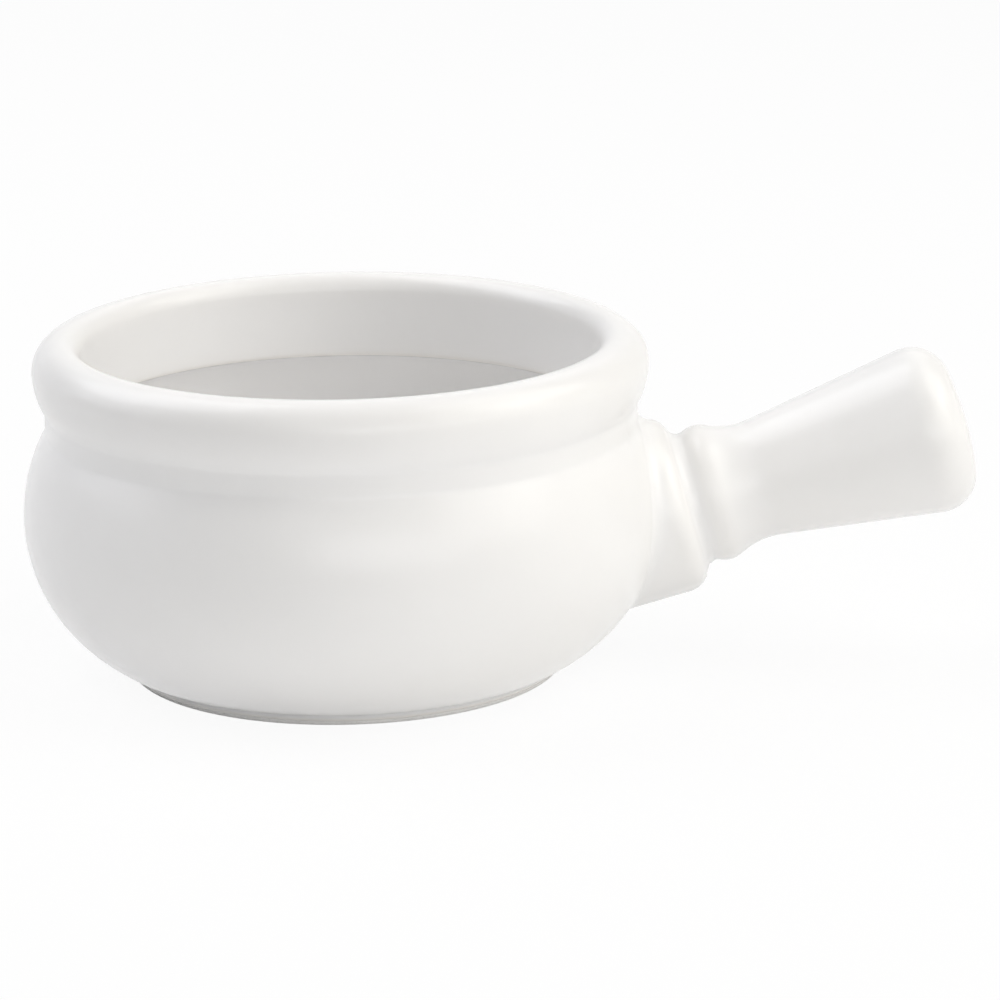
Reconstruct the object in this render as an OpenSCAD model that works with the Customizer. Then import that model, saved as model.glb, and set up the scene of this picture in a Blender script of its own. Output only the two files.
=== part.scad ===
// Handled onion soup crock: a glazed stoneware bowl with a rolled rim and a hollow handle.
// Origin at the centre of the foot ring, on the table. +X runs along the handle, +Z up.
// Sizes are those of the finished, glazed surface. The fired clay lies one glaze coat inside it.

/* [Bowl outside] */
// Diameter across the widest part of the belly
belly_d = 125; // [114:0.5:140]
// Height of the widest part of the belly
belly_z = 31.4; // [28:0.2:36]
// Height from the widest part up to the shoulder crease
shoulder_h = 17.1; // [15:0.1:20]
// Height of the neck band, from the crease to the hollow under the rim
neck_h = 3.92; // [3.3:0.02:6]
// How far the neck lies inside the belly's widest line
neck_inset = 4.7; // [4:0.1:5]
// How far the rim's widest line lies inside the belly's
rim_inset = 2.5; // [2.1:0.1:3.2]
// Width of the rolled rim, from its widest line to the mouth
rim_w = 9.5; // [9.1:0.1:11]
// Radius of the rim's rounded top, down to its widest line
rim_top_r = 5.9; // [5:0.1:7]
// Radius of the rim's fuller underside
rim_under_r = 14.3; // [11:0.1:18]
// Radius of the hollow turn from the neck into the rim
neck_top_r = 2; // [1.2:0.1:3]
// Radius of the soft crease where the neck meets the shoulder
crease_r = 1.8; // [1.2:0.1:2.6]

/* [Bowl inside] */
// Height of the mouth's lower edge above the crease outside
mouth_rise = 1; // [0.4:0.1:1.5]
// Radius of the mouth's lower edge
mouth_edge_r = 1; // [0.8:0.1:1.4]
// Radius of the hollow just under the mouth's edge
under_mouth_r = 2; // [1.2:0.1:2.6]
// Thickness of the belly wall, glaze and all
wall_t = 3.8; // [3.4:0.1:4.1]
// Thickness of the floor, glaze and all
floor_t = 4.7; // [4:0.1:6]
// Radius between the floor and the wall
floor_fillet_r = 9; // [5:0.5:12]

/* [Foot] */
// Diameter of the foot ring
foot_d = 86; // [80:0.5:88]
// Height of the foot ring's upright band
foot_h = 2.4; // [1.9:0.1:3.2]
// How far the belly stands out past the band
foot_step = 1.3; // [0.9:0.1:2]
// Width of the foot ring
foot_w = 5; // [4:0.1:7]
// Depth of the recess inside the foot ring
recess_h = 1.8; // [1.7:0.1:2.6]
// Height of bare clay left at the bottom of the foot ring
dry_h = 0.8; // [0.6:0.1:0.9]
// Radius of the foot ring's bottom edges
foot_edge_r = 0.6; // [0.3:0.1:0.6]
// Radius of the soft corners round the band and the recess
foot_fillet_r = 0.6; // [0.4:0.1:0.8]

/* [Handle] */
// How far under the belly's widest line the handle's axis meets its circle
handle_drop = 1.4; // [0:0.1:3]
// Length of the handle along its axis, from that circle to its end
handle_l = 62; // [56:0.5:72]
// Diameter of the boss that seats on the belly
boss_d = 35; // [33:0.2:36]
// Length of the boss along the axis, from that circle to its end
boss_l = 5.4; // [5:0.1:6.4]
// Radius of the boss's rounded shoulder
boss_shoulder_r = 4.4; // [3.6:0.1:5]
// Radius of the groove between the boss and the bead
groove_r = 2; // [1.6:0.1:2.6]
// Diameter over the bead
bead_d = 27.4; // [26.4:0.1:28.4]
// Distance from the boss's end to the middle of the bead
bead_gap = 4.9; // [4.6:0.1:5.6]
// Radius of the bead's round
bead_r = 5; // [4:0.1:5.6]
// Smallest diameter of the waist between the bead and the grip
waist_d = 23.3; // [22:0.1:25]
// Radius of the waist's hollow
waist_r = 14; // [10:0.5:18]
// Diameter across the grip's end
grip_d = 33.3; // [30:0.1:38]
// Radius of the grip's rounded end edge
grip_edge_r = 7.5; // [5:0.1:8.5]
// Radius of the end's shallow dome
grip_dome_r = 60; // [45:1:90]
// Thickness of the handle's clay wall
handle_wall = 3.6; // [3:0.1:4.2]
// Diameter of the vent hole under the waist
vent_d = 2.2; // [1.6:0.1:2.8]

/* [Joint and glaze] */
// Thickness of the fired glaze
glaze_t = 0.45; // [0.3:0.05:0.5]
// Thickness of the slip that joins the handle to the belly
slip_t = 0.6; // [0.5:0.05:0.9]
// Radius of the hollow fillet wiped round the joint
fillet_r = 3; // [2:0.1:3.4]

/* [Hidden] */

handle_tilt = 15.7;       // degrees above level
profile_tol = 0.02;       // largest distance of a profile's chord from its arc
overrun = 3;              // how far a cutting shape runs past the cut
fillet_clear = 0.04;      // keeps the fillet's flats clear of the round bowl and boss
fillet_turns = 60;        // slices round the joint's fillet
fillet_steps = 6;         // flats across the fillet
seat_steps = 3;           // flats along each side that it lies on
search_steps = 26;        // halvings in the search for the joint's line
round_fn = 180;

// Colours
clay_color = [0.87, 0.85, 0.81];
slip_color = [0.83, 0.80, 0.75];
glaze_color = [0.93, 0.93, 0.92];

// Bowl radii and arc centres, as [radius, height]
belly_r = belly_d / 2;
rim_r = belly_r - rim_inset;
neck_r = belly_r - neck_inset;
mouth_r = rim_r - rim_w;
foot_r = foot_d / 2;
foot_in_r = foot_r - foot_w;
ledge_r = foot_r + foot_step;
crease_z = belly_z + shoulder_h;
neck_top_c = [neck_r + neck_top_r, crease_z + neck_h];
rim_z = neck_top_c[1] + leg(rim_under_r + neck_top_r, neck_top_c[0] - rim_r + rim_under_r);
bowl_h = rim_z + rim_top_r;
mouth_z = crease_z + mouth_rise;
floor_z = recess_h + floor_t;

lower_r = tangent_radius(belly_r - ledge_r, belly_z - foot_h);
shoulder_r = tangent_radius(belly_r - neck_r, crease_z - belly_z);
lower_c = [belly_r - lower_r, belly_z];
shoulder_c = [belly_r - shoulder_r, belly_z];
crease_c = [
    neck_r + crease_r,
    belly_z + leg(shoulder_r + crease_r, neck_r + crease_r - shoulder_c[0])
];
rim_under_c = [rim_r - rim_under_r, rim_z];
rim_top_c = [rim_r - rim_top_r, rim_z];
crest_r = rim_top_c[0];
lip_r = crest_r - mouth_r;
lip_c = [crest_r, bowl_h - lip_r];
inner_shoulder_r = shoulder_r - wall_t;
inner_lower_r = lower_r - wall_t;
under_mouth_c = [
    shoulder_c[0] + leg(inner_shoulder_r - under_mouth_r, mouth_z - under_mouth_r - belly_z),
    mouth_z - under_mouth_r
];
mouth_round_r = min(mouth_edge_r, under_mouth_c[0] - mouth_r); // no wider than the ledge under it
mouth_edge_c = [mouth_r + mouth_round_r, mouth_z + mouth_round_r];
floor_c = [
    lower_c[0] + leg(inner_lower_r - floor_fillet_r, belly_z - floor_z - floor_fillet_r),
    floor_z + floor_fillet_r
];
band_c = [foot_r + foot_fillet_r, foot_h - foot_fillet_r];
recess_c = [foot_in_r - foot_fillet_r, recess_h - foot_fillet_r];

// Handle stations and arc centres, as [distance along the axis from the bowl's centre line, radius]
handle_rise = belly_z - handle_drop - belly_r * tan(handle_tilt);
seat_s = belly_r / cos(handle_tilt);
boss_r = boss_d / 2;
root_s = seat_s - boss_r;
boss_end_s = seat_s + boss_l;
end_s = seat_s + handle_l;
boss_c = [boss_end_s - boss_shoulder_r, boss_r - boss_shoulder_r];
bead_c = [boss_end_s + bead_gap, bead_d / 2 - bead_r];
groove_c = meet_circles(boss_c, boss_shoulder_r + groove_r, bead_c, bead_r + groove_r);
waist_c = above_line(bead_c, bead_r + waist_r, waist_d / 2 + waist_r);
dome_c = [end_s - grip_dome_r, 0];
edge_c = above_line(dome_c, grip_dome_r - grip_edge_r, grip_d / 2 - grip_edge_r);
grip_taper = angle_to(waist_c, edge_c) + asin((waist_r + grip_edge_r) / norm(edge_c - waist_c));
throat_r = groove_c[1] - groove_r - glaze_t - handle_wall;
bore_r = boss_r - glaze_t - handle_wall;
cavity_waist_r = waist_r + glaze_t + handle_wall;
cavity_edge_r = grip_edge_r - glaze_t - handle_wall;
cavity_dome_r = grip_dome_r - glaze_t - handle_wall;
throat_end_s = waist_c[0] - leg(cavity_waist_r, waist_c[1] - throat_r);

// Long side left when a right triangle's slanted side and one other side are known
function leg(slant, side) = sqrt(pow(slant, 2) - pow(side, 2));

// Radius of an arc that starts upright and moves in by run over a height rise
function tangent_radius(run, rise) = (pow(run, 2) + pow(rise, 2)) / (2 * run);

function angle_to(from, to) = atan2(to[1] - from[1], to[0] - from[0]);

// Centre that lies at two given distances from two points, on the outer side
function meet_circles(p, rp, q, rq) =
    let (
        d = norm(q - p),
        u = (q - p) / d,
        a = (pow(rp, 2) - pow(rq, 2) + pow(d, 2)) / (2 * d)
    )
    p + u * a + [-u[1], u[0]] * leg(rp, a);

// Centre at a given radius and at a given distance from p, on the far side of p
function above_line(p, distance, radius) = [p[0] + leg(distance, radius - p[1]), radius];

// Points of an arc, with chords no further than profile_tol from it
function arc(centre, r, from, to) =
    let (count = max(2, ceil(abs(to - from) / (2 * acos(1 - profile_tol / max(r, 2 * profile_tol))))))
    [for (i = [0:count]) let (a = from + (to - from) * i / count) centre + r * [cos(a), sin(a)]];

// Angle at which the lower belly's arc, moved in by inset, starts on the band
function band_turn(inset) =
    let (turn = asin((belly_z - foot_h - inset) / (lower_r - inset)))
    ledge_r < lower_c[0] ? turn - 180 : -turn;

// Outside of the bowl from the dry foot up to the top of the rim, moved in by inset
function outer_line(inset) = concat(
    [[foot_r - inset, dry_h]],
    arc(band_c, foot_fillet_r + inset, 180, 90),
    arc(lower_c, lower_r - inset, band_turn(inset), 0),
    arc(shoulder_c, shoulder_r - inset, 0, angle_to(shoulder_c, crease_c)),
    arc(crease_c, crease_r + inset, angle_to(shoulder_c, crease_c) + 180, 180),
    arc(neck_top_c, neck_top_r + inset, 180, angle_to(neck_top_c, rim_under_c)),
    arc(rim_under_c, rim_under_r - inset, angle_to(neck_top_c, rim_under_c) - 180, 0),
    arc(rim_top_c, rim_top_r - inset, 0, 90)
);

// Inside of the bowl from the top of the rim down to the middle of the floor, moved in by inset
function inner_line(inset) = concat(
    arc(lip_c, lip_r - inset, 90, 180),
    arc(mouth_edge_c, mouth_round_r - inset, 180, 270),
    arc(under_mouth_c, under_mouth_r + inset, 90, angle_to(shoulder_c, under_mouth_c)),
    arc(shoulder_c, inner_shoulder_r + inset, angle_to(shoulder_c, under_mouth_c), 0),
    arc(lower_c, inner_lower_r + inset, 0, angle_to(lower_c, floor_c)),
    arc(floor_c, floor_fillet_r + inset, angle_to(lower_c, floor_c), -90),
    [[0, floor_z - inset]]
);

// Underside inside the foot ring, from the middle out to the dry foot, moved in by inset
function base_line(inset) = concat(
    [[0, recess_h + inset]],
    arc(recess_c, foot_fillet_r + inset, 90, 0),
    [[foot_in_r + inset, dry_h]]
);

// Bare bottom of the foot ring, from its inner edge to its outer edge
function foot_line() = concat(
    arc([foot_in_r + glaze_t + foot_edge_r, foot_edge_r], foot_edge_r, 180, 270),
    arc([foot_r - glaze_t - foot_edge_r, foot_edge_r], foot_edge_r, -90, 0)
);

// Outside of the handle from inside the bowl to the middle of its end, moved in by inset
function handle_line(inset) = concat(
    [[root_s, 0], [root_s, boss_r - inset]],
    arc(boss_c, boss_shoulder_r - inset, 90, angle_to(boss_c, groove_c)),
    arc(groove_c, groove_r + inset, angle_to(boss_c, groove_c) + 180, angle_to(bead_c, groove_c) + 180),
    arc(bead_c, bead_r - inset, angle_to(bead_c, groove_c), angle_to(bead_c, waist_c)),
    arc(waist_c, waist_r + inset, angle_to(bead_c, waist_c) - 180, grip_taper - 90),
    arc(edge_c, grip_edge_r - inset, grip_taper + 90, angle_to(dome_c, edge_c)),
    arc(dome_c, grip_dome_r - inset, angle_to(dome_c, edge_c), 0)
);

// Hollow of the handle, from inside the bowl to the middle of its end
function cavity_line() = concat(
    [[root_s - overrun, 0], [root_s - overrun, bore_r], [boss_c[0], bore_r], [boss_end_s, throat_r]],
    arc(waist_c, cavity_waist_r, angle_to(waist_c, [throat_end_s, throat_r]), grip_taper - 90),
    arc(edge_c, cavity_edge_r, grip_taper + 90, angle_to(dome_c, edge_c)),
    arc(dome_c, cavity_dome_r, angle_to(dome_c, edge_c), 0)
);

function backwards(line) = [for (i = [len(line) - 1:-1:0]) line[i]];

// Radius of the bowl's outside, thickened by over, at a height between the foot and the rim
function bowl_radius(z, over) =
    z < belly_z ? lower_c[0] + leg(lower_r + over, min(belly_z - z, lower_r + over))
    : max(neck_r + over, shoulder_c[0] + leg(shoulder_r + over, min(z - belly_z, shoulder_r + over)));

// Radius of the handle's outside, thickened by over, at a station on the boss or its shoulder
function boss_radius(s, over) =
    s < boss_c[0] ? boss_r + over
    : boss_c[1] + leg(boss_shoulder_r + over, min(s - boss_c[0], boss_shoulder_r + over));

// Point at a station, a radius and an angle round the handle's axis, 0 degrees being its top
function handle_point(s, r, turn) = [
    s * cos(handle_tilt) - r * cos(turn) * sin(handle_tilt),
    r * sin(turn),
    handle_rise + s * sin(handle_tilt) + r * cos(turn) * cos(handle_tilt)
];

function boss_point(s, over, turn) = handle_point(s, boss_radius(s, over), turn);

// Station where the boss leaves the bowl at an angle round the axis, both thickened by over
function joint_station(turn, over, low = 0, high = boss_end_s, steps = search_steps) =
    let (
        mid = (low + high) / 2,
        p = boss_point(mid, over, turn)
    )
    steps == 0 ? mid
    : norm([p[0], p[1]]) > bowl_radius(p[2], over)
        ? joint_station(turn, over, low, mid, steps - 1)
        : joint_station(turn, over, mid, high, steps - 1);

// Nearest point to p, as [radius, height], on the bowl's outside
function foot_on_bowl(p) =
    let (
        root = p[1] < belly_z ? lower_c : shoulder_c,
        r = p[1] < belly_z ? lower_r : shoulder_r,
        way = p - root
    )
    p[1] > belly_z && p[0] - neck_r < norm(way) - r ? [neck_r + fillet_clear, p[1]]
    : root + way / norm(way) * (r + fillet_clear);

// Nearest point to p, as [station, radius], on the boss or its shoulder
function foot_on_boss(p) =
    let (
        root = [min(p[0], boss_c[0]), boss_c[1]],
        way = p - root
    )
    root + way / norm(way) * (boss_shoulder_r + fillet_clear);

// Puts a point straight out from the bowl's axis onto the bowl
function onto_bowl(p) =
    let (k = bowl_radius(p[2], fillet_clear) / norm([p[0], p[1]]))
    [p[0] * k, p[1] * k, p[2]];

// One slice of the fillet that a rolling ball would leave: the ball's arc from the bowl to the boss,
// then back along the boss to the corner between them, and along the bowl
function fillet_slice(turn) =
    let (
        ball_s = joint_station(turn, fillet_r),
        ball = boss_point(ball_s, fillet_r, turn),
        ball_r = norm([ball[0], ball[1]]),
        bowl_foot = foot_on_bowl([ball_r, ball[2]]),
        boss_foot = foot_on_boss([ball_s, boss_radius(ball_s, fillet_r)]),
        on_bowl = [ball[0] * bowl_foot[0] / ball_r, ball[1] * bowl_foot[0] / ball_r, bowl_foot[1]],
        on_boss = handle_point(boss_foot[0], boss_foot[1], turn),
        corner_s = joint_station(turn, fillet_clear),
        corner = boss_point(corner_s, fillet_clear, turn),
        u = on_bowl - ball,
        v = on_boss - ball,
        sweep = acos(u * v / norm(u) / norm(v))
    )
    concat(
        [for (i = [0:fillet_steps])
            let (k = i / fillet_steps)
            ball + (u * sin((1 - k) * sweep) + v * sin(k * sweep)) / sin(sweep)],
        [for (i = [1:seat_steps])
            boss_point(boss_foot[0] + (corner_s - boss_foot[0]) * i / seat_steps, fillet_clear, turn)],
        [for (i = [1:seat_steps - 1]) onto_bowl(corner + (on_bowl - corner) * i / seat_steps)]
    );

// Closed skin over a ring of slices that all have the same number of points
module ring_of(slices) {
    rings = len(slices);
    wide = len(slices[0]);
    points = [for (slice = slices) each slice];
    faces = [for (i = [0:rings - 1], j = [0:wide - 1], half = [0, 1])
        let (
            a = i * wide + j,
            b = i * wide + (j + 1) % wide,
            c = (i + 1) % rings * wide + (j + 1) % wide,
            d = (i + 1) % rings * wide + j
        )
        half == 0 ? [a, b, c] : [a, c, d]];
    polyhedron(points, faces, convexity = 4);
}

module turned(line) {
    rotate_extrude($fn = round_fn) polygon(line);
}

// Puts what is turned about Z onto the handle's axis
module on_handle_axis() {
    translate([0, 0, handle_rise]) rotate([0, 90 - handle_tilt, 0]) children();
}

module handle_turned(line) {
    on_handle_axis() turned([for (p = line) [p[1], p[0]]]);
}

// The bowl's outside as a full solid, moved in by inset
module bowl_filled(inset) {
    turned(concat([[0, dry_h]], outer_line(inset), [[0, bowl_h - inset]]));
}

module handle_filled(inset) {
    handle_turned(handle_line(inset));
}

module handle_cavity() {
    handle_turned(cavity_line());
}

// Vent through the underside of the waist into the hollow
module vent() {
    translate(handle_point(waist_c[0], 0, 0))
        rotate([0, 180 - handle_tilt, 0])
            cylinder(d = vent_d, h = waist_c[1] - waist_r + overrun, $fn = round_fn);
}

// Fired clay bowl: floor, belly, neck, rolled rim and foot ring in one
module bowl_body() {
    color(clay_color)
        turned(concat(base_line(glaze_t), foot_line(), outer_line(glaze_t), inner_line(glaze_t)));
}

// Hollow cast handle, its root cut to a saddle that fits the belly
module handle_body() {
    color(clay_color)
        difference() {
            handle_filled(glaze_t);
            handle_cavity();
            bowl_filled(glaze_t - slip_t);
            vent();
        }
}

// Layer of slip between the saddle and the belly
module luting_slip() {
    color(slip_color)
        difference() {
            intersection() {
                bowl_filled(glaze_t - slip_t);
                difference() {
                    handle_filled(glaze_t);
                    handle_cavity();
                }
            }
            bowl_filled(glaze_t);
        }
}

// Fillet wiped round the joint, following the line where the boss leaves the belly
module joint_fillet() {
    color(glaze_color)
        ring_of([for (i = [0:fillet_turns - 1]) fillet_slice(i * 360 / fillet_turns)]);
}

// Glaze over the outside, from the top of the rim to the dry foot, open under the boss
module glaze_outside() {
    color(glaze_color)
        difference() {
            turned(concat(outer_line(0), backwards(outer_line(glaze_t))));
            handle_filled(glaze_t);
        }
}

// Glaze over the inside, from the top of the rim to the floor
module glaze_inside() {
    color(glaze_color)
        turned(concat(inner_line(0), backwards(inner_line(glaze_t))));
}

// Glaze over the handle, down to the glazed belly
module glaze_handle() {
    color(glaze_color)
        difference() {
            handle_filled(0);
            handle_filled(glaze_t);
            bowl_filled(0);
            vent();
        }
}

// Glaze over the recess inside the foot ring
module glaze_base() {
    color(glaze_color)
        turned(concat(base_line(0), backwards(base_line(glaze_t))));
}

bowl_body();
handle_body();
luting_slip();
joint_fillet();
glaze_outside();
glaze_inside();
glaze_handle();
glaze_base();
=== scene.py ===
"""Handled onion soup crock: white glazed stoneware with a rolled rim, a hollow handle and a dry foot.

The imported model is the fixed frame. Its clay pieces stay as they are. The glaze is made here as one
smooth coat that runs over the rim, into the well and out over the wiped joint along the handle.
"""

import math

import bpy
import numpy as np
from mathutils import Matrix, Vector, noise


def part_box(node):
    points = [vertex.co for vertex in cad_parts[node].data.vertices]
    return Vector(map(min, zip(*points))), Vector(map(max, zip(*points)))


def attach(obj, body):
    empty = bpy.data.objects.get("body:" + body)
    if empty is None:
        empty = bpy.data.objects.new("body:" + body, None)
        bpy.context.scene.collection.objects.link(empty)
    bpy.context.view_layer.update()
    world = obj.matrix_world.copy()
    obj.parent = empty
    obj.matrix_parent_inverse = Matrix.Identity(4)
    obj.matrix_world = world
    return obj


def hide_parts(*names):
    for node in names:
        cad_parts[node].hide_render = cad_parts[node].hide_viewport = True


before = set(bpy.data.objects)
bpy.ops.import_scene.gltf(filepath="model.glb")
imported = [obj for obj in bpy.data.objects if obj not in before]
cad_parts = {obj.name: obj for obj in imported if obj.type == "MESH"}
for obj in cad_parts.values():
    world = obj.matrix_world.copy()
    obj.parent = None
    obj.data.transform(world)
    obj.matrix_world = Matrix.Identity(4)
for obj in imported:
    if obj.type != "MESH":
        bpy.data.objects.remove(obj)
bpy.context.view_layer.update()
scene = bpy.context.scene
scene.view_settings.view_transform = "Standard"

MM = 0.001


# Camera, from the fit of the bowl's circles and the handle's outline in the photograph

CAMERA_BACK = 0.9497
CAMERA_UP = 0.2892
CAMERA_YAW = math.radians(1.85)
CAMERA_PITCH = math.radians(15.14)
CAMERA_ROLL = math.radians(-0.77)
FOCAL_LENGTH_MM = 180.6
SENSOR_MM = 36
NEAREST_SEEN = 0.05


def add_camera():
    data = bpy.data.cameras.new("camera")
    data.lens = FOCAL_LENGTH_MM
    data.sensor_width = SENSOR_MM
    data.clip_start = NEAREST_SEEN
    camera = bpy.data.objects.new("camera", data)
    aim = Matrix.Rotation(-CAMERA_YAW, 4, "Z") @ Matrix.Rotation(math.pi / 2 - CAMERA_PITCH, 4, "X")
    roll = Matrix.Rotation(CAMERA_ROLL, 4, "Z")
    camera.matrix_world = Matrix.Translation((0, -CAMERA_BACK, CAMERA_UP)) @ aim @ roll
    scene.collection.objects.link(camera)
    scene.camera = camera


# Sizes of the finished, glazed surface, in metres: from the frame where a box gives them

outside_low, outside_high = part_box("glaze_outside")
inside_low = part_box("glaze_inside")[0]
boss_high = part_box("handle_body")[1]
recess_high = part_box("glaze_base")[1]

GLAZE_T = 0.45 * MM
BELLY_R = outside_high.y
BOWL_H = outside_high.z
DRY_H = outside_low.z
FLOOR_Z = inside_low.z + GLAZE_T
RECESS_H = recess_high.z - GLAZE_T
BOSS_R = boss_high.y + GLAZE_T

BELLY_Z = 31.4 * MM
SHOULDER_H = 17.1 * MM
NECK_INSET = 4.7 * MM
RIM_INSET = 2.5 * MM
RIM_W = 9.5 * MM
MOUTH_RISE = 1 * MM
CREASE_Z = BELLY_Z + SHOULDER_H
NECK_R = BELLY_R - NECK_INSET
RIM_R = BELLY_R - RIM_INSET
MOUTH_R = RIM_R - RIM_W
MOUTH_Z = CREASE_Z + MOUTH_RISE
RIM_TOP_R = 5.9 * MM
RIM_UNDER_R = 14.3 * MM
NECK_TOP_R = 2 * MM
CREASE_R = 1.8 * MM
MOUTH_EDGE_R = 1 * MM
UNDER_MOUTH_R = 2 * MM
WALL_T = 3.8 * MM
FLOOR_FILLET_R = 9 * MM
FOOT_R = 43 * MM
FOOT_H = 2.4 * MM
FOOT_STEP = 1.3 * MM
FOOT_W = 5 * MM
FOOT_FILLET_R = 0.6 * MM
HANDLE_TILT = math.radians(15.7)
HANDLE_DROP = 1.4 * MM
HANDLE_RISE = BELLY_Z - HANDLE_DROP - BELLY_R * math.tan(HANDLE_TILT)
HANDLE_L = 62 * MM
BOSS_L = 5.4 * MM
BOSS_SHOULDER_R = 4.4 * MM
GROOVE_R = 2 * MM
BEAD_OUT_R = 13.7 * MM
BEAD_GAP = 4.9 * MM
BEAD_R = 5 * MM
WAIST_LEAST_R = 11.65 * MM
WAIST_R = 14 * MM
GRIP_R = 16.65 * MM
GRIP_EDGE_R = 7.5 * MM
GRIP_DOME_R = 60 * MM
HANDLE_WALL = 3.6 * MM
VENT_GLAZED_R = 0.9 * MM
VENT_ROUND_R = 0.5 * MM
FILLET_R = 3 * MM
COAT_T = 0.4 * MM


# Profiles, as rows of points made of round arcs

FINE = 0.04 * MM
SOFTENING = 0.35 * MM
SOFTENING_REACH = 3
LEAST_ARC_STEPS = 4
LEAST_STRAIGHT_STEPS = 2
TURN_WINDOW = 25


def leg(slant, side):
    """A right triangle's third side, from its slanted side and one other."""
    return math.sqrt(slant**2 - side**2)


def tangent_radius(run, rise):
    """Radius of an arc that starts upright and moves in by run over a height rise."""
    return (run**2 + rise**2) / (2 * run)


def angle_to(start, end):
    """Direction from one point to another, from the first axis."""
    return math.atan2(end[1] - start[1], end[0] - start[0])


def meet_circles(p, rp, q, rq):
    """Centre that lies at two given distances from two points, on the outer side."""
    p, q = np.array(p), np.array(q)
    d = np.linalg.norm(q - p)
    u = (q - p) / d
    a = (rp**2 - rq**2 + d**2) / (2 * d)
    return p + u * a + np.array([-u[1], u[0]]) * leg(rp, a)


def arc(centre, radius, start, end):
    """Close points along an arc between two angles."""
    count = max(LEAST_ARC_STEPS, math.ceil(abs(end - start) * radius / FINE))
    angles = np.linspace(start, end, count + 1)
    return np.array(centre) + radius * np.column_stack([np.cos(angles), np.sin(angles)])


def straight(start, end):
    """Close points along a straight line."""
    count = max(LEAST_STRAIGHT_STEPS, math.ceil(math.dist(start, end) / FINE))
    return np.linspace(start, end, count + 1)


class Profile:
    """A smooth outline, met by its length from the start, with corners softened as glaze does it."""

    def __init__(self, parts):
        points = np.vstack(parts)
        keep = np.append(True, np.linalg.norm(np.diff(points, axis=0), axis=1) > FINE / 100)
        points = points[keep]
        length = self.lengths(points)
        even = np.linspace(0, length[-1], math.ceil(length[-1] / FINE) + 1)
        points = np.column_stack([np.interp(even, length, points[:, k]) for k in (0, 1)])
        self.points = self.softened(points)
        self.length = self.lengths(self.points)
        along = np.gradient(self.points, axis=0)
        along /= np.linalg.norm(along, axis=1, keepdims=True)
        self.along = along

    @staticmethod
    def lengths(points):
        return np.append(0, np.cumsum(np.linalg.norm(np.diff(points, axis=0), axis=1)))

    @staticmethod
    def softened(points):
        """Running average along the line. Its ends are mirrored through their points, so they stay."""
        reach = math.ceil(SOFTENING_REACH * SOFTENING / FINE)
        weights = np.exp(-0.5 * (np.arange(-reach, reach + 1) * FINE / SOFTENING) ** 2)
        weights /= weights.sum()
        before = 2 * points[0] - points[reach:0:-1]
        after = 2 * points[-1] - points[-2 : -reach - 2 : -1]
        wide = np.vstack([before, points, after])
        return np.column_stack([np.convolve(wide[:, k], weights, "valid") for k in (0, 1)])

    def at(self, t):
        """Two coordinates at given lengths along the line."""
        return np.interp(t, self.length, self.points[:, 0]), np.interp(t, self.length, self.points[:, 1])

    def heading(self, t):
        """Two coordinates of the line's direction at given lengths along it."""
        a, b = (np.interp(t, self.length, self.along[:, k]) for k in (0, 1))
        size = np.hypot(a, b)
        return a / size, b / size

    def stations(self, start, end, longest, sharpest):
        """Lengths from start to end, closer together where the line turns."""
        steps = np.diff(self.points, axis=0)
        turn = np.abs(np.diff(np.unwrap(np.arctan2(steps[:, 1], steps[:, 0]))))
        turn = np.convolve(np.append(turn, turn[-1]), np.full(TURN_WINDOW, 1 / TURN_WINDOW), "same")
        cost = np.append(0, np.cumsum(np.maximum(np.diff(self.length) / longest, turn / sharpest)))
        low, high = np.interp([start, end], self.length, cost)
        count = math.ceil(high - low)
        return np.interp(np.linspace(low, high, count + 1), cost, self.length)


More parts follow.
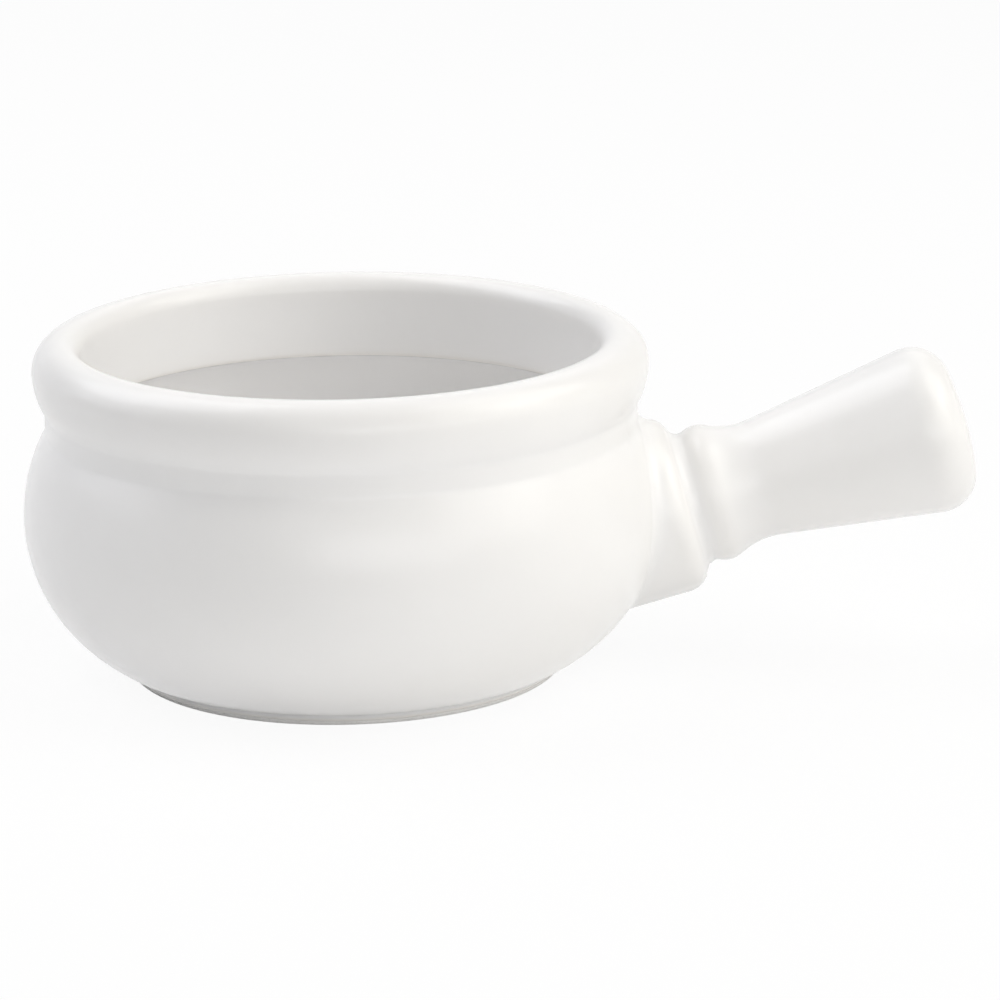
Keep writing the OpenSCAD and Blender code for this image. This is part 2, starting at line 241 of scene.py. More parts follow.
def bowl_profile():
    """Radius and height of the bowl, from the foot's glaze edge over the rim to the floor's middle."""
    ledge_r = FOOT_R + FOOT_STEP
    rim_z = BOWL_H - RIM_TOP_R
    lower_r = tangent_radius(BELLY_R - ledge_r, BELLY_Z - FOOT_H)
    shoulder_r = tangent_radius(BELLY_R - NECK_R, CREASE_Z - BELLY_Z)
    lower_c = (BELLY_R - lower_r, BELLY_Z)
    shoulder_c = (BELLY_R - shoulder_r, BELLY_Z)
    crease_x = NECK_R + CREASE_R
    crease_c = (crease_x, BELLY_Z + leg(shoulder_r + CREASE_R, crease_x - shoulder_c[0]))
    under_c = (RIM_R - RIM_UNDER_R, rim_z)
    neck_top_x = NECK_R + NECK_TOP_R
    neck_top_c = (neck_top_x, rim_z - leg(RIM_UNDER_R + NECK_TOP_R, neck_top_x - under_c[0]))
    crest_r = RIM_R - RIM_TOP_R
    lip_r = crest_r - MOUTH_R
    inner_shoulder_r = shoulder_r - WALL_T
    inner_lower_r = lower_r - WALL_T
    under_mouth_z = MOUTH_Z - UNDER_MOUTH_R
    under_mouth_c = (
        shoulder_c[0] + leg(inner_shoulder_r - UNDER_MOUTH_R, under_mouth_z - BELLY_Z),
        under_mouth_z,
    )
    floor_c = (
        lower_c[0] + leg(inner_lower_r - FLOOR_FILLET_R, BELLY_Z - FLOOR_Z - FLOOR_FILLET_R),
        FLOOR_Z + FLOOR_FILLET_R,
    )
    up, down, level = math.pi / 2, -math.pi / 2, math.pi
    crease_turn = angle_to(shoulder_c, crease_c)
    neck_turn = angle_to(neck_top_c, under_c)
    return Profile([
        arc((FOOT_R - GLAZE_T, DRY_H + GLAZE_T), GLAZE_T, down, 0),
        arc((FOOT_R + FOOT_FILLET_R, FOOT_H - FOOT_FILLET_R), FOOT_FILLET_R, level, up),
        arc(lower_c, lower_r, -math.asin((BELLY_Z - FOOT_H) / lower_r), 0),
        arc(shoulder_c, shoulder_r, 0, crease_turn),
        arc(crease_c, CREASE_R, crease_turn + math.pi, level),
        arc(neck_top_c, NECK_TOP_R, level, neck_turn),
        arc(under_c, RIM_UNDER_R, neck_turn - math.pi, 0),
        arc((crest_r, rim_z), RIM_TOP_R, 0, up),
        arc((crest_r, BOWL_H - lip_r), lip_r, up, level),
        arc((MOUTH_R + MOUTH_EDGE_R, MOUTH_Z + MOUTH_EDGE_R), MOUTH_EDGE_R, level, 1.5 * math.pi),
        arc(under_mouth_c, UNDER_MOUTH_R, up, angle_to(shoulder_c, under_mouth_c)),
        arc(shoulder_c, inner_shoulder_r, angle_to(shoulder_c, under_mouth_c), 0),
        arc(lower_c, inner_lower_r, 0, angle_to(lower_c, floor_c)),
        arc(floor_c, FLOOR_FILLET_R, angle_to(lower_c, floor_c), down),
        straight((floor_c[0], FLOOR_Z), (0, FLOOR_Z)),
    ])


def recess_profile():
    """Radius and height of the glazed recess, from its middle out to the foot ring's glaze edge."""
    inner_r = FOOT_R - FOOT_W
    up, down = math.pi / 2, -math.pi / 2
    return Profile([
        straight((0, RECESS_H), (inner_r - FOOT_FILLET_R, RECESS_H)),
        arc((inner_r - FOOT_FILLET_R, RECESS_H - FOOT_FILLET_R), FOOT_FILLET_R, up, 0),
        arc((inner_r + GLAZE_T, DRY_H + GLAZE_T), GLAZE_T, math.pi, 1.5 * math.pi),
    ])


def above_line(p, distance, radius):
    """Centre at a given radius and at a given distance from p, on the far side of p."""
    return np.array([p[0] + leg(distance, radius - p[1]), radius])


SEAT_S = BELLY_R / math.cos(HANDLE_TILT)
ROOT_S = SEAT_S - BOSS_R
BOSS_END_S = SEAT_S + BOSS_L
END_S = SEAT_S + HANDLE_L
BOSS_C = np.array([BOSS_END_S - BOSS_SHOULDER_R, BOSS_R - BOSS_SHOULDER_R])
BEAD_C = np.array([BOSS_END_S + BEAD_GAP, BEAD_OUT_R - BEAD_R])
GROOVE_C = meet_circles(BOSS_C, BOSS_SHOULDER_R + GROOVE_R, BEAD_C, BEAD_R + GROOVE_R)
WAIST_C = above_line(BEAD_C, BEAD_R + WAIST_R, WAIST_LEAST_R + WAIST_R)
DOME_C = np.array([END_S - GRIP_DOME_R, 0])
EDGE_C = above_line(DOME_C, GRIP_DOME_R - GRIP_EDGE_R, GRIP_R - GRIP_EDGE_R)
GRIP_TAPER = angle_to(WAIST_C, EDGE_C) + math.asin((WAIST_R + GRIP_EDGE_R) / math.dist(WAIST_C, EDGE_C))


def handle_profile():
    """Station along the handle's axis and radius, from the boss's root to the middle of the end."""
    half = math.pi
    boss_turn = angle_to(BOSS_C, GROOVE_C)
    bead_turn = angle_to(BEAD_C, GROOVE_C)
    waist_turn = angle_to(BEAD_C, WAIST_C)
    edge_turn = angle_to(DOME_C, EDGE_C)
    return Profile([
        straight((ROOT_S, BOSS_R), (BOSS_C[0], BOSS_R)),
        arc(BOSS_C, BOSS_SHOULDER_R, half / 2, boss_turn),
        arc(GROOVE_C, GROOVE_R, boss_turn + half, bead_turn + half),
        arc(BEAD_C, BEAD_R, bead_turn, waist_turn),
        arc(WAIST_C, WAIST_R, waist_turn - half, GRIP_TAPER - half / 2),
        arc(EDGE_C, GRIP_EDGE_R, GRIP_TAPER + half / 2, edge_turn),
        arc(DOME_C, GRIP_DOME_R, edge_turn, 0),
    ])


# Surfaces: the coat follows two turned bodies, bowl and handle, and the fillet between them

bowl = bowl_profile()
handle = handle_profile()
belly_part = bowl.points[:, 1] < BOWL_H - RIM_TOP_R
belly_part[np.argmax(bowl.points[:, 1]) :] = False
outer_points = bowl.points[belly_part]
outer_along = bowl.along[belly_part]
outer_length = bowl.length[belly_part]


def points_of(*coordinates):
    """Points from three coordinates, each given alone or for many points."""
    return np.stack(np.broadcast_arrays(*coordinates), -1)


def bowl_point(angle, t):
    """Points of the bowl at angles round its axis and lengths along its profile."""
    r, z = bowl.at(t)
    return points_of(r * np.cos(angle), r * np.sin(angle), z)


def axis_point(s, r, turn):
    """Points at stations, radii and angles round the handle's axis, zero being its top."""
    lift = r * np.cos(turn)
    x = s * math.cos(HANDLE_TILT) - lift * math.sin(HANDLE_TILT)
    z = HANDLE_RISE + s * math.sin(HANDLE_TILT) + lift * math.cos(HANDLE_TILT)
    return points_of(x, r * np.sin(turn), z)


def handle_point(turn, t):
    """Points of the handle at angles round its axis and lengths along its profile."""
    s, r = handle.at(t)
    return axis_point(s, r, turn)


def handle_normal(turn, t):
    """Outward directions of length one at the same points."""
    along, out = handle.heading(t)
    root = axis_point(0, 0, turn)
    return axis_point(-out, along, turn) - root


def foot_on_bowl(points):
    """Distance to the bowl's outside, and the nearest point's angle and length along the profile."""
    r, z = np.hypot(points[:, 0], points[:, 1]), points[:, 2]
    way_r = r[:, None] - outer_points[:, 0]
    way_z = z[:, None] - outer_points[:, 1]
    nearest = np.argmin(way_r**2 + way_z**2, axis=1)
    every = np.arange(len(points))
    way_r, way_z = way_r[every, nearest], way_z[every, nearest]
    along = outer_along[nearest]
    past = way_r * along[:, 0] + way_z * along[:, 1]
    away = way_r * along[:, 1] - way_z * along[:, 0]
    return away, np.arctan2(points[:, 1], points[:, 0]), outer_length[nearest] + past


class Joint:
    """Path of a ball that rolls round the joint, touching bowl and handle at each angle round it."""

    def __init__(self, count):
        self.turn = np.linspace(0, 2 * math.pi, count)
        low = np.zeros(count)
        high = np.full(count, np.interp(BOSS_END_S, handle.points[:, 0], handle.length))
        for _ in range(JOINT_HALVINGS):
            middle = (low + high) / 2
            away = foot_on_bowl(self.ball(middle))[0]
            high = np.where(away > FILLET_R, middle, high)
            low = np.where(away > FILLET_R, low, middle)
        self.handle_t = (low + high) / 2
        self.bowl_angle, self.bowl_t = foot_on_bowl(self.ball(self.handle_t))[1:]
        reach = int(count * JOINT_SOFTENING)
        weights = np.hanning(2 * reach + 3)[1:-1]
        before, after = self.bowl_t[-reach - 1 : -1], self.bowl_t[1 : reach + 1]
        closed = np.concatenate([before, self.bowl_t, after])
        self.bowl_t = np.convolve(closed, weights / weights.sum(), "valid")

    def ball(self, t):
        """Centres of the ball that touches the handle at lengths t along its profile."""
        return handle_point(self.turn, t) + FILLET_R * handle_normal(self.turn, t)

    def feet(self, turn):
        """Angle round the bowl, length along its profile and along the handle's, at given turns."""
        return [np.interp(turn, self.turn, row) for row in (self.bowl_angle, self.bowl_t, self.handle_t)]


# The coat's mesh

BOWL_COLUMNS = 192
LONGEST = 1.5 * MM
SHARPEST = math.radians(8)
JOINT_MARGIN = 2.4 * MM
PATCH_RINGS = 12
FILLET_STEPS = 10
JOINT_STEPS = 1441
JOINT_HALVINGS = 24
JOINT_SOFTENING = 0.012
BOSS_ROWS = 16
VENT_MARGIN = 1.5 * MM
VENT_RINGS = 5
VENT_STEPS = 5


class Skin:
    """Vertices and faces, gathered ring by ring."""

    def __init__(self):
        self.points = []
        self.faces = []
        self.count = 0

    def add(self, points):
        points = np.asarray(points, float)
        ids = self.count + np.arange(points.size // 3).reshape(points.shape[:-1])
        self.points.append(points.reshape(-1, 3))
        self.count += ids.size
        return ids

    def strip(self, lower, upper):
        """Faces between two closed rings, anticlockwise as seen from outside with upper on top."""
        for face in zip(lower, np.roll(lower, -1), np.roll(upper, -1), upper):
            self.faces.append(tuple(map(int, face)))

    def cap(self, ring, point):
        """Closes the ring that comes last on a body's way up."""
        middle = int(self.add([point])[0])
        for a, b in zip(ring, np.roll(ring, -1)):
            self.faces.append((int(a), int(b), middle))

    def grid(self, ids, hole):
        """Faces of rows of vertices that close round a body, without those of the hole's cells."""
        top, bottom, left, right = hole
        columns = ids.shape[1]
        inside = {c % columns for c in range(left, right)}
        for j in range(len(ids) - 1):
            for i in range(columns):
                if not (bottom <= j < top and i in inside):
                    k = (i + 1) % columns
                    face = (ids[j, i], ids[j, k], ids[j + 1, k], ids[j + 1, i])
                    self.faces.append(tuple(map(int, face)))

    def mesh(self, name):
        points = np.vstack(self.points)
        used = np.unique(np.concatenate([np.array(f) for f in self.faces]))
        new = np.full(len(points), -1)
        new[used] = np.arange(len(used))
        made = bpy.data.meshes.new(name)
        made.from_pydata(points[used].tolist(), [], [tuple(int(new[i]) for i in f) for f in self.faces])
        made.update()
        return made


def perimeter(hole):
    """Cells round a block of a grid, clockwise from the middle of its top row, as rows and columns."""
    top, bottom, left, right = hole
    middle = (left + right) // 2
    cells = [(top, c) for c in range(middle, right)]
    cells += [(r, right) for r in range(top, bottom, -1)]
    cells += [(bottom, c) for c in range(right, left, -1)]
    cells += [(r, left) for r in range(bottom, top)]
    cells += [(top, c) for c in range(left, middle)]
    return np.array(cells).T


def clock(across, up):
    """Angles clockwise from straight up, from zero to a full turn."""
    return np.mod(np.arctan2(across, up), 2 * math.pi)


def shares(count):
    """Steps from just past zero up to one."""
    return np.arange(1, count + 1) / count


def bowl_with_joint(skin, joint):
    """The bowl's skin, open where the handle joins. Gives the opening's ring and handle angles."""
    rows = bowl.stations(0, bowl.length[-1], LONGEST, SHARPEST)[:-1]
    angles = np.arange(BOWL_COLUMNS) * 2 * math.pi / BOWL_COLUMNS
    low, high = joint.bowl_t.min(), joint.bowl_t.max()
    middle = (low + high) / 2
    half = math.ceil((joint.bowl_angle.max() + JOINT_MARGIN / BELLY_R) / angles[1])
    top = int(np.searchsorted(rows, high + JOINT_MARGIN))
    bottom = int(np.searchsorted(rows, low - JOINT_MARGIN)) - 1
    hole = (top, bottom, -half, half)
    ids = skin.add(bowl_point(angles[None, :], rows[:, None]))
    skin.grid(ids, hole)
    skin.cap(ids[-1], bowl_point(0.0, bowl.length[-1]))
    j, i = perimeter(hole)
    edge_angle, edge_t = i * angles[1], rows[j]
    clocks = np.unwrap(np.arctan2(joint.bowl_angle * BELLY_R, joint.bowl_t - middle))
    turn = np.interp(clock(edge_angle * BELLY_R, edge_t - middle), clocks, joint.turn)
    foot_angle, foot_t, _ = joint.feet(turn)
    ring = ids[j, i % BOWL_COLUMNS]
    for k in shares(PATCH_RINGS):
        angle = edge_angle + (foot_angle - edge_angle) * k
        inner = skin.add(bowl_point(angle, edge_t + (foot_t - edge_t) * k))
        skin.strip(inner, ring)
        ring = inner
    return ring, turn


def fillet(skin, ring, turn, joint):
    """The wiped fillet: arcs of the rolling ball, from the bowl to the boss."""
    foot_angle, foot_t, handle_t = joint.feet(turn)
    ball = handle_point(turn, handle_t) + FILLET_R * handle_normal(turn, handle_t)
    u = bowl_point(foot_angle, foot_t) - ball
    v = handle_point(turn, handle_t) - ball
    size = np.linalg.norm(u, axis=1) * np.linalg.norm(v, axis=1)
    sweep = np.arccos(np.sum(u * v, 1) / size)[:, None]
    for k in shares(FILLET_STEPS):
        inner = skin.add(ball + (u * np.sin((1 - k) * sweep) + v * np.sin(k * sweep)) / np.sin(sweep))
        skin.strip(inner, ring)
        ring = inner
    return ring, handle_t


def handle_with_vent(skin, ring, turn, start_t):
    """The handle's skin from the fillet to the middle of its end, open at the vent under its waist."""
    groove_t = np.interp(GROOVE_C[0], handle.points[:, 0], handle.length)
    waist_t = np.interp(WAIST_C[0], handle.points[:, 0], handle.length)
    boss_rows = [start_t + (groove_t - start_t) * k for k in shares(BOSS_ROWS)]
    far_rows = handle.stations(groove_t, handle.length[-1], LONGEST / 2, SHARPEST)[1:-1]
    rows = np.array(boss_rows + [np.full_like(turn, t) for t in far_rows])
    ids = np.vstack([ring, skin.add(handle_point(turn[None, :], rows))])
    rows = np.vstack([start_t, rows])
    waist_r = handle.at(waist_t)[1]
    edge = VENT_GLAZED_R + VENT_ROUND_R + VENT_MARGIN
    top = int(np.searchsorted(rows[:, 0], waist_t + edge))
    bottom = int(np.searchsorted(rows[:, 0], waist_t - edge)) - 1
    left = int(np.searchsorted(turn, math.pi - edge / waist_r)) - 1
    right = int(np.searchsorted(turn, math.pi + edge / waist_r))
    right += (right - left) % 2
    hole = (top, bottom, left, right)
    skin.grid(ids[:, ::-1], (top, bottom, len(turn) - 1 - right, len(turn) - 1 - left))
    skin.cap(ids[-1][::-1], handle_point(0.0, handle.length[-1]))
    j, i = perimeter(hole)
    vent(skin, ids[j, i], turn[i], rows[j, i], waist_t, waist_r)


def vent(skin, ring, edge_turn, edge_t, waist_t, waist_r):
    """The vent's glazed mouth: from the handle's skin, round its lip and through to the hollow."""
    waist_s = handle.at(waist_t)[0]
    clocks = clock((edge_turn - math.pi) * waist_r, edge_t - waist_t)
    lip_r = VENT_GLAZED_R + VENT_ROUND_R
    lip_t = np.interp(waist_s + lip_r * np.cos(clocks), handle.points[:, 0], handle.length)
    lip_turn = math.pi + np.arcsin(lip_r * np.sin(clocks) / handle.at(lip_t)[1])
    for k in shares(VENT_RINGS):
        inner_turn = edge_turn + (lip_turn - edge_turn) * k
        inner = skin.add(handle_point(inner_turn, edge_t + (lip_t - edge_t) * k))
        skin.strip(ring, inner)
        ring = inner
    root = axis_point(waist_s, 0.0, 0.0)
    down = axis_point(waist_s, 1.0, math.pi) - root
    along = axis_point(waist_s + 1, 0.0, 0.0) - root
    side = np.array([0, -1, 0])
    height = (handle_point(lip_turn, lip_t) - root) @ down
    spread = np.cos(clocks)[:, None] * along + np.sin(clocks)[:, None] * side
    rings = []
    for bend in shares(VENT_STEPS) * math.pi / 2:
        radius = lip_r - VENT_ROUND_R * math.sin(bend)
        rings.append((radius, height - VENT_ROUND_R * (1 - math.cos(bend))))
    bottom = waist_r - HANDLE_WALL - 2 * GLAZE_T
    for k in shares(VENT_STEPS):
        rings.append((VENT_GLAZED_R, rings[VENT_STEPS - 1][1] * (1 - k) + bottom * k))
    for radius, high in rings:
        inner = skin.add(root + high[:, None] * down + radius * spread)
        skin.strip(ring, inner)
        ring = inner


def turned_skin(profile):
    """A whole turned skin from a profile that starts on the axis."""
    skin = Skin()
    rows = profile.stations(0, profile.length[-1], LONGEST, SHARPEST)[1:]
    angles = np.arange(BOWL_COLUMNS) * 2 * math.pi / BOWL_COLUMNS
    r, z = (c[:, None] for c in profile.at(rows))
    ids = skin.add(points_of(r * np.cos(angles), r * np.sin(angles), z))
    for lower, upper in zip(ids, ids[1:]):
        skin.strip(lower, upper)
    skin.cap(ids[0][::-1], (0, 0, profile.points[0, 1]))
    return skin


# How the glaze lies, and where painted shade goes: length and depth of its waves, and the bend that
# counts as an edge or a hollow

WAVES = ((26 * MM, 0.05 * MM), (7 * MM, 0.012 * MM))
EDGE_SCALE = 0.9 * MM
EDGE_PASSES = 6
SHARP_ANGLE = math.radians(45)


def vertex_rows(mesh, key):
    """Every vertex's place or normal, one row each."""
    values = np.zeros(len(mesh.vertices) * 3)
    mesh.vertices.foreach_get(key, values)
    return values.reshape(-1, 3)


def settle(mesh):
    """Sinks the skin by the few hundredths of a millimetre that a fired glaze wanders."""
    points, normals = vertex_rows(mesh, "co"), vertex_rows(mesh, "normal")
    for length, depth in WAVES:
        sink = [0.5 + 0.5 * noise.noise(Vector(p) / length) for p in points]
        points = points - normals * (depth * np.clip(sink, 0, 1))[:, None]
    mesh.vertices.foreach_set("co", points.ravel())
    mesh.update()


def mark_glaze_depth_and_shade(mesh):
    """Writes how thick the glaze lies: below a half on outer edges, above it in hollows, where it also
    marks painted shade.
    """
    count = len(mesh.vertices)
    points, normals = vertex_rows(mesh, "co"), vertex_rows(mesh, "normal")
    ends = np.zeros(len(mesh.edges) * 2, int)
    mesh.edges.foreach_get("vertices", ends)
    a, b = ends.reshape(-1, 2).T
    near = np.bincount(a, minlength=count) + np.bincount(b, minlength=count)
    way = points[b] - points[a]
    bend_a = np.sum(way * normals[a], 1) / np.sum(way * way, 1)
    bend_b = -np.sum(way * normals[b], 1) / np.sum(way * way, 1)
    hollow = (np.bincount(a, bend_a, count) + np.bincount(b, bend_b, count)) / near
    for _ in range(EDGE_PASSES):
        total = np.bincount(a, hollow[b], count) + np.bincount(b, hollow[a], count)
        hollow = 0.5 * hollow + 0.5 * total / near
    # Above a half in hollows: there the glaze's colour is partly pooled glaze and partly painted shade.
    depth = np.clip(0.5 + 0.5 * hollow * EDGE_SCALE, 0, 1)
    attribute = mesh.attributes.new("glaze_depth_and_shade", "FLOAT", "POINT")
    attribute.data.foreach_set("value", depth.astype(np.float32))


def coat_object(name, skin, material):
    """A closed coat of glaze from its outer skin."""
    mesh = skin.mesh(name)
    settle(mesh)
    mark_glaze_depth_and_shade(mesh)
    mesh.materials.append(material)
    made = bpy.data.objects.new(name, mesh)
    scene.collection.objects.link(made)
    thick = made.modifiers.new("thickness", "SOLIDIFY")
    thick.thickness = COAT_T
    thick.offset = -1
    view = bpy.context.evaluated_depsgraph_get()
    closed = bpy.data.meshes.new_from_object(made.evaluated_get(view))
    made.modifiers.clear()
    made.data = closed
    closed.name = name
    closed.shade_smooth()
    closed.set_sharp_from_angle(angle=SHARP_ANGLE)
    return made


# Materials: a ramp's stop is its place and its colour, and a texture's scale is per metre

GLAZE_IOR = 1.5
THIN_GLAZE = (0.36, (0.91, 0.885, 0.85))
EVEN_GLAZE = (0.5, (0.925, 0.918, 0.912))
# The thick glaze's colour is partly pooled glaze and partly painted shade in creases and hollows.
THICK_GLAZE_AND_SHADE = (0.66, (0.89, 0.893, 0.902))
GLAZE_CLOUDS = {"Scale": 38.0, "Detail": 4.0, "Roughness": 0.55}
CLOUD_SHADES = (0.975, 1.015)
GLAZE_ROUGHNESS = (0.2, 0.27)
GLAZE_PEEL = {"Scale": 420.0, "Detail": 2.0, "Roughness": 0.4}
PIT_SCALE = 210.0
PIT_EDGE = (0.02, 0.05)
PIT_SHARE = 0.5
GLAZE_BUMP = (0.25, 0.02 * MM)
CLAY_GRAIN = {"Scale": 1900.0, "Detail": 5.0, "Roughness": 0.7}
CLAY_PATCHES = {"Scale": 90.0, "Detail": 3.0}
GRAIN_SHADES = ((0.3, 0.95), (0.7, 1.04))
SPECK_SCALE = 900.0
SPECK_EDGE = (0.08, 0.22)
SPECK_SHADES = (0.9, 1.0)
PATCH_SHADES = (0.94, 1.06)
CLAY_BUMP = (0.7, 0.06 * MM)
CLAY_ROUGHNESS = 0.85
CLAY_WHITE = (0.9, 0.893, 0.88)
SLIP_WHITE = (0.84, 0.825, 0.795)


class Surface:
    """A new material with its surface shader, and short calls that add the nodes that drive it."""

    def __init__(self, name):
        self.material = bpy.data.materials.new(name)
        self.material.use_nodes = True
        self.nodes = self.material.node_tree.nodes
        self.link = self.material.node_tree.links.new
        self.shader = self.nodes["Principled BSDF"]

    def add(self, kind, **values):
        """A node with its settings and its sockets' values."""
        node = self.nodes.new(kind)
        for key, value in values.items():
            if hasattr(node, key):
                setattr(node, key, value)
            else:
                node.inputs[key.replace("_", " ")].default_value = value
        return node

    def texture(self, kind, output, **values):
        """One output of a texture that lies fixed in the object."""
        node = self.add(kind, **values)
        self.link(self.add("ShaderNodeTexCoord").outputs["Object"], node.inputs["Vector"])
        return node.outputs[output]

    def spread(self, value, low, high, start=0, end=1):
        """A value that runs from start to end, brought to run from low to high and held there."""
        node = self.add("ShaderNodeMapRange", From_Min=start, From_Max=end, To_Min=low, To_Max=high)
        self.link(value, node.inputs["Value"])
        return node.outputs["Result"]

    def count(self, operation, *values):
        """The result of a sum with linked or plain values."""
        node = self.add("ShaderNodeMath", operation=operation)
        for socket, value in zip(node.inputs, values):
            if isinstance(value, (int, float)):
                socket.default_value = value
            else:
                self.link(value, socket)
        return node.outputs[0]

    def ramp(self, value, first, last, *others):
        """Colours along a value, from stops of a place and a colour each."""
        node = self.add("ShaderNodeValToRGB")
        stops = node.color_ramp.elements
        for stop, (place, color) in zip(stops, (first, last)):
            stop.position, stop.color = place, (*color, 1)
        for place, color in others:
            stops.new(place).color = (*color, 1)
        self.link(value, node.inputs["Fac"])
        return node.outputs["Color"]

    def shaded(self, color, share):
        """A colour times a share."""
        node = self.add("ShaderNodeMix", data_type="RGBA", blend_type="MULTIPLY")
        node.inputs["Factor"].default_value = 1
        self.link(color, node.inputs["A"])
        self.link(share, node.inputs["B"])
        return node.outputs["Result"]

    def drive(self, socket, value):
        self.link(value, self.shader.inputs[socket])

    def bump(self, height, strength, distance):
        node = self.add("ShaderNodeBump", Strength=strength, Distance=distance)
        self.link(height, node.inputs["Height"])
        self.drive("Normal", node.outputs["Normal"])


def white_glaze():
    """Glossy white glaze: a hair warmer where it runs thin, cooler and darker in hollows where it
    gathers, partly pooled glaze and partly painted shade, softly uneven.
    """
    glaze = Surface("white_glaze")
    glaze.shader.inputs["IOR"].default_value = GLAZE_IOR
    depth = glaze.add("ShaderNodeAttribute", attribute_name="glaze_depth_and_shade").outputs["Fac"]
    cloud = glaze.texture("ShaderNodeTexNoise", "Fac", **GLAZE_CLOUDS)
    # The ramp's thick end darkens hollows: partly pooled glaze, partly painted shade.
    tint_and_shade = glaze.ramp(depth, THIN_GLAZE, THICK_GLAZE_AND_SHADE, EVEN_GLAZE)
    glaze.drive("Base Color", glaze.shaded(tint_and_shade, glaze.spread(cloud, *CLOUD_SHADES)))
    glaze.drive("Roughness", glaze.spread(cloud, *GLAZE_ROUGHNESS))
    peel = glaze.texture("ShaderNodeTexNoise", "Fac", **GLAZE_PEEL)
    pits = glaze.texture("ShaderNodeTexVoronoi", "Distance", Scale=PIT_SCALE)
    height = glaze.count("MULTIPLY_ADD", glaze.spread(pits, 0, 1, *PIT_EDGE), PIT_SHARE, peel)
    glaze.bump(height, *GLAZE_BUMP)
    return glaze.material


def bare_clay(name, color):
    """Unglazed fired clay: fine sandy grain with darker and paler specks, dry and rough."""
    clay = Surface(name)
    grain = clay.texture("ShaderNodeTexNoise", "Fac", **CLAY_GRAIN)
    patches = clay.texture("ShaderNodeTexNoise", "Fac", **CLAY_PATCHES)
    specks = clay.texture("ShaderNodeTexVoronoi", "Distance", Scale=SPECK_SCALE)
    stops = [(place, [min(1, share * c) for c in color]) for place, share in GRAIN_SHADES]
    speck = clay.spread(specks, *SPECK_SHADES, *SPECK_EDGE)
    share = clay.count("MULTIPLY", speck, clay.spread(patches, *PATCH_SHADES))
    clay.drive("Base Color", clay.shaded(clay.ramp(grain, *stops), share))
    clay.bump(grain, *CLAY_BUMP)
    clay.shader.inputs["Roughness"].default_value = CLAY_ROUGHNESS
    return clay.material


# Studio: softboxes by name, degrees to the right of the camera's side, degrees up, size, watts, colour

FLOOR_SIZE = 8
FLOOR_WHITE = 0.97
FLOOR_PLAIN_SHARE = 0.92
LIT_POINT = (0.02, 0, 0.03)
SOFTBOX_AWAY = 1.3
WARM = (1, 0.981, 0.932)
PLAIN = (1, 1, 1)
COOL = (0.965, 0.972, 1)
SOFTBOXES = (
    ("right_high", 90, 52, 1.0, 1.0, 6.4, WARM),
    ("right_low", 95, 25, 1.0, 1.0, 1.1, WARM),
    ("right_front", 60, 30, 1.0, 1.0, 4.8, WARM),
    ("front", 0, 30, 1.2, 1.0, 2.2, PLAIN),
    ("front_low", 15, 12, 1.2, 0.5, 2.5, PLAIN),
    ("left", -100, 35, 1.0, 1.0, 3.5, COOL),
    ("left_back", -120, 52, 1.0, 1.0, 6.3, COOL),
    ("back", 180, 50, 1.1, 1.1, 2.0, COOL),
    ("top", 0, 90, 1.0, 1.0, 1.4, PLAIN),
)


def seen_white(nodes, link):
    """One for rays that see the surroundings themselves: straight, in gloss or through glass."""
    path = nodes.new("ShaderNodeLightPath")
    total = path.outputs["Is Camera Ray"]
    for kind in ("Is Glossy Ray", "Is Transmission Ray"):
        both = nodes.new("ShaderNodeMath")
        both.operation = "ADD"
        both.use_clamp = True
        link(total, both.inputs[0])
        link(path.outputs[kind], both.inputs[1])
        total = both.outputs[0]
    return total


def add_world():
    """Even surroundings, white where they are seen, that give no light of their own."""
    world = bpy.data.worlds.new("studio")
    world.use_nodes = True
    scene.world = world
    nodes, link = world.node_tree.nodes, world.node_tree.links.new
    background = nodes["Background"]
    background.inputs["Color"].default_value = (1, 1, 1, 1)
    link(seen_white(nodes, link), background.inputs["Strength"])


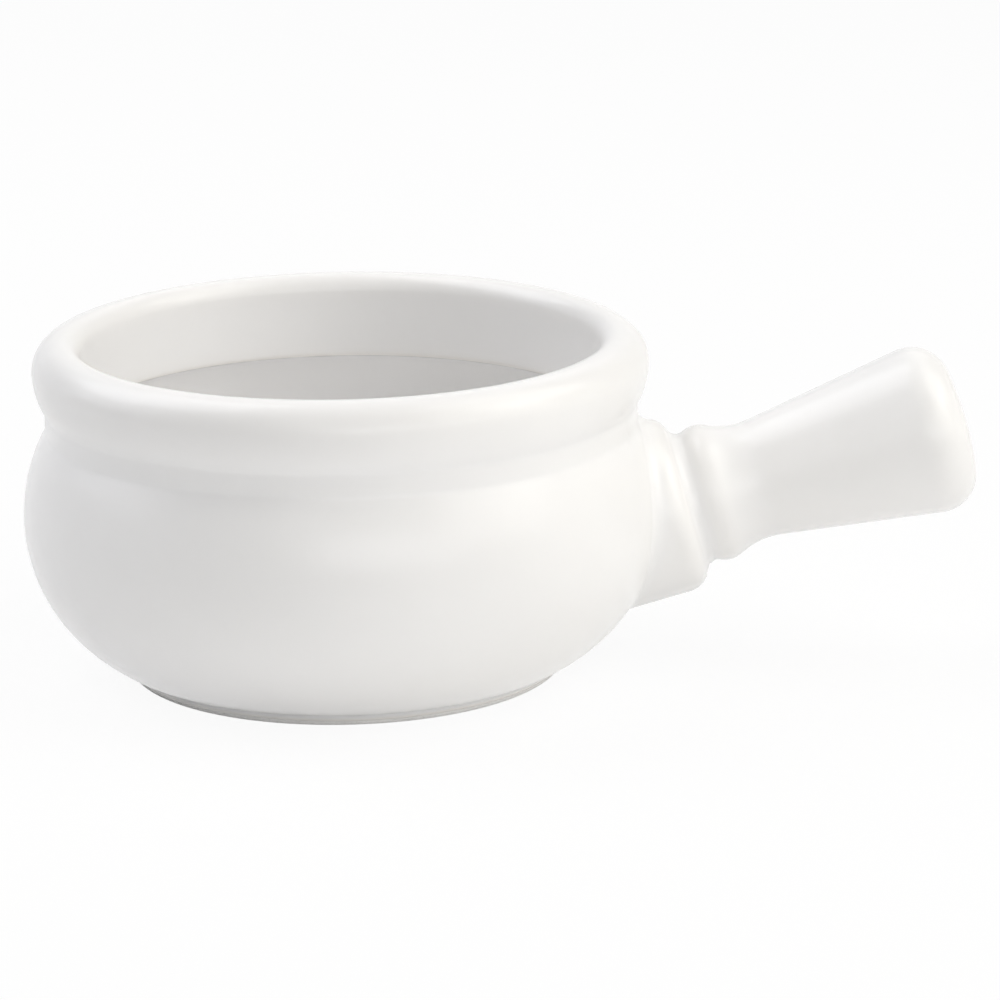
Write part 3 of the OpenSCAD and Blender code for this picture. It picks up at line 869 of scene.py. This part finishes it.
def add_floor():
    """A floor that the camera sees mostly as plain white. The rest is lit and keeps the shadow."""
    mesh = bpy.data.meshes.new("floor")
    half = FLOOR_SIZE / 2
    corners = [(-half, -half, 0), (half, -half, 0), (half, half, 0), (-half, half, 0)]
    mesh.from_pydata(corners, [], [(0, 1, 2, 3)])
    floor = bpy.data.objects.new("floor", mesh)
    scene.collection.objects.link(floor)
    white = Surface("white_floor")
    white.shader.inputs["Base Color"].default_value = (FLOOR_WHITE, FLOOR_WHITE, FLOOR_WHITE, 1)
    white.shader.inputs["Roughness"].default_value = 1
    white.shader.inputs["Specular IOR Level"].default_value = 0
    plain = white.add("ShaderNodeEmission", Strength=1.0)
    mixed = white.add("ShaderNodeMixShader")
    seen = white.count("MULTIPLY", seen_white(white.nodes, white.link), FLOOR_PLAIN_SHARE)
    white.link(seen, mixed.inputs["Fac"])
    white.link(white.shader.outputs["BSDF"], mixed.inputs[1])
    white.link(plain.outputs["Emission"], mixed.inputs[2])
    white.link(mixed.outputs["Shader"], white.nodes["Material Output"].inputs["Surface"])
    mesh.materials.append(white.material)


def add_softbox(name, azimuth, height, wide, high, power, color):
    """A softbox that faces the object."""
    light = bpy.data.lights.new(name, "AREA")
    light.shape = "RECTANGLE"
    light.size = wide
    light.size_y = high
    light.energy = power
    light.color = color
    turn, lift = math.radians(azimuth), math.radians(height)
    way = Vector((math.sin(turn) * math.cos(lift), -math.cos(turn) * math.cos(lift), math.sin(lift)))
    lamp = bpy.data.objects.new(name, light)
    lamp.location = Vector(LIT_POINT) + SOFTBOX_AWAY * way
    lamp.rotation_euler = (-way).to_track_quat("-Z", "Y").to_euler()
    scene.collection.objects.link(lamp)


add_camera()
add_world()
add_floor()
for softbox in SOFTBOXES:
    add_softbox(*softbox)

glaze = white_glaze()
coat_skin = Skin()
joint = Joint(JOINT_STEPS)
opening, joint_turn = bowl_with_joint(coat_skin, joint)
boss_ring, boss_t = fillet(coat_skin, opening, joint_turn, joint)
handle_with_vent(coat_skin, boss_ring, joint_turn, boss_t)
coat = coat_object("glaze_coat", coat_skin, glaze)
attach(coat, "root")
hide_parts("glaze_outside", "glaze_inside", "glaze_handle", "joint_fillet")

recess = coat_object("glaze_recess", turned_skin(recess_profile()), glaze)
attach(recess, "root")
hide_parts("glaze_base")

clay = bare_clay("fired_clay", CLAY_WHITE)
slip = bare_clay("joint_slip", SLIP_WHITE)
for node, material in (("bowl_body", clay), ("handle_body", clay), ("luting_slip", slip)):
    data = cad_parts[node].data
    data.materials.clear()
    data.materials.append(material)
